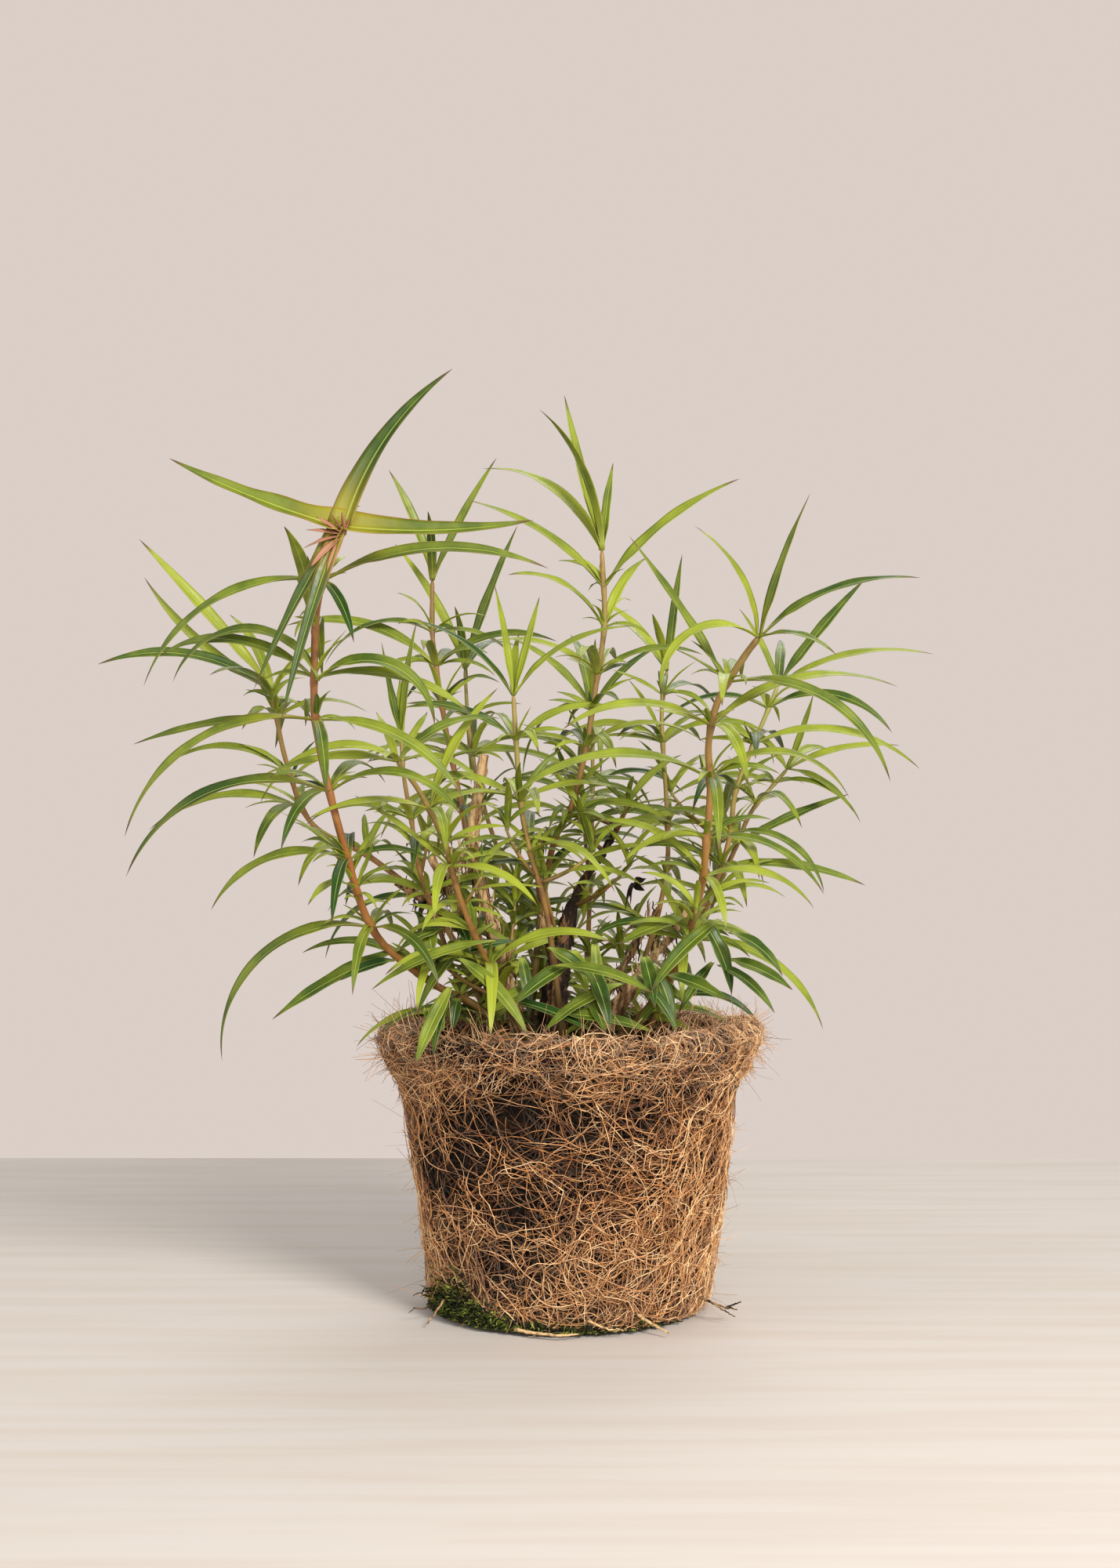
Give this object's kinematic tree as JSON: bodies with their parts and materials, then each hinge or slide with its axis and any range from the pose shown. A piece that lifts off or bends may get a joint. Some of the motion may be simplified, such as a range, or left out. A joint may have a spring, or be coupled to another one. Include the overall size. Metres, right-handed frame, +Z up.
{
  "type": "potted plant",
  "caption": "Young bushy perennial with arching narrow leaves in opposite pairs on leaning stems, planted in a flared coconut-fibre pot.",
  "frame": {"origin": "centre of the pot's flat foot, on the surface it stands on", "axes": "+Z up along the pot's axis, -Y towards the side the plant is looked at from, +X to its right"},
  "size_m": [0.3157, 0.2715, 0.3424],
  "materials": {
    "coir": "matted coarse brown fibre, dull",
    "compost": "dark crumbly peaty soil, dull",
    "stem": "smooth green to reddish-brown soft stem, slight sheen",
    "leaf": "yellow-green, paler blue-green below, satin",
    "old_wood": "dark shaggy weathered bark, dull"
  },
  "bodies": {
    "root": {"coir_pot": "coir", "compost": "compost", "old_stump_centre": "old_wood", "old_stump_right": "old_wood", "old_cut_stem": "old_wood", "front_left_stem": "stem", "front_centre_stem": "stem", "left_stem": "stem", "left_inner_stem": "stem", "back_left_stem": "stem", "back_inner_stem": "stem", "centre_stem": "stem", "tall_centre_stem": "stem", "back_stem": "stem", "front_right_stem": "stem", "back_right_stem": "stem", "right_inner_stem": "stem", "right_low_stem": "stem", "front_left_tip": "leaf", "front_left_leaves_1": "leaf", "front_left_leaves_2": "leaf", "front_left_leaves_3": "leaf", "front_left_leaves_4": "leaf", "front_left_leaves_5": "leaf", "front_centre_tip": "leaf", "front_centre_leaves_1": "leaf", "front_centre_leaves_2": "leaf", "front_centre_leaves_3": "leaf", "left_tip": "leaf", "left_leaves_1": "leaf", "left_leaves_2": "leaf", "left_inner_tip": "leaf", "left_inner_leaves_1": "leaf", "back_left_tip": "leaf", "back_left_leaves_1": "leaf", "back_inner_tip": "leaf", "back_inner_leaves_1": "leaf", "centre_tip": "leaf", "centre_leaves_1": "leaf", "centre_leaves_2": "leaf", "tall_centre_tip": "leaf", "tall_centre_leaves_1": "leaf", "tall_centre_leaves_2": "leaf", "tall_centre_leaves_3": "leaf", "tall_centre_leaves_4": "leaf", "back_tip": "leaf", "back_leaves_1": "leaf", "front_right_tip": "leaf", "front_right_leaves_1": "leaf", "front_right_leaves_2": "leaf", "front_right_leaves_3": "leaf", "front_right_leaves_4": "leaf", "front_right_leaves_5": "leaf", "back_right_tip": "leaf", "back_right_leaves_1": "leaf", "back_right_leaves_2": "leaf", "right_inner_tip": "leaf", "right_inner_leaves_1": "leaf", "right_low_tip": "leaf", "right_low_leaves_1": "leaf"}
  },
  "joints": []
}
